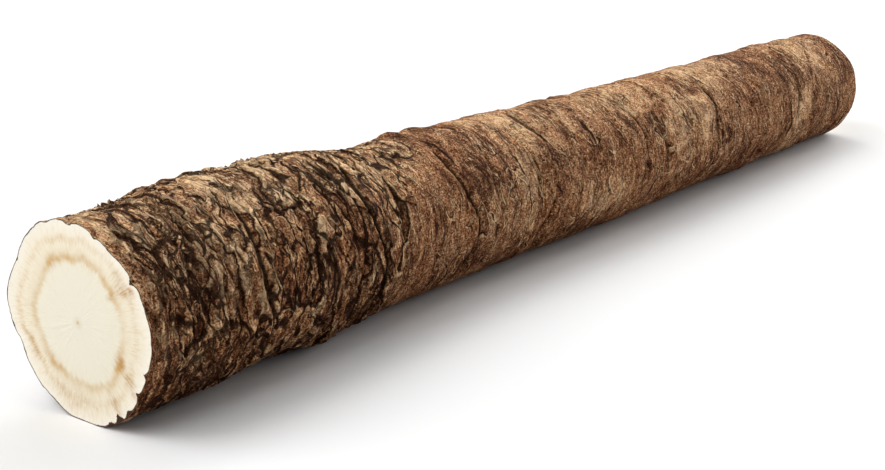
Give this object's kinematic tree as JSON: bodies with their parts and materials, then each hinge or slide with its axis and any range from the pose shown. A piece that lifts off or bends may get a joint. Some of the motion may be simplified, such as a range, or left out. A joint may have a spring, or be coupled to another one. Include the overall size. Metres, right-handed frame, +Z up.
{
  "type": "burdock root",
  "caption": "Cut length of root lying on its side: craggy brown bark at the crown end, finer ring-wrinkled bark towards the tail, pale flesh at both cut faces.",
  "frame": {"origin": "bottom centre of the bounding box, on the surface that the root lies on", "axes": "+X along the root from the thick crown cut to the thin tail cut, +Z up"},
  "size_m": [0.25, 0.0382, 0.0373],
  "materials": {
    "root_bark": "dull rough brown root bark with ring wrinkles, long scales and torn layers; the two cut faces are moist pale cream flesh with tan rings"
  },
  "bodies": {
    "root": {"burdock_root": "root_bark"}
  },
  "joints": []
}
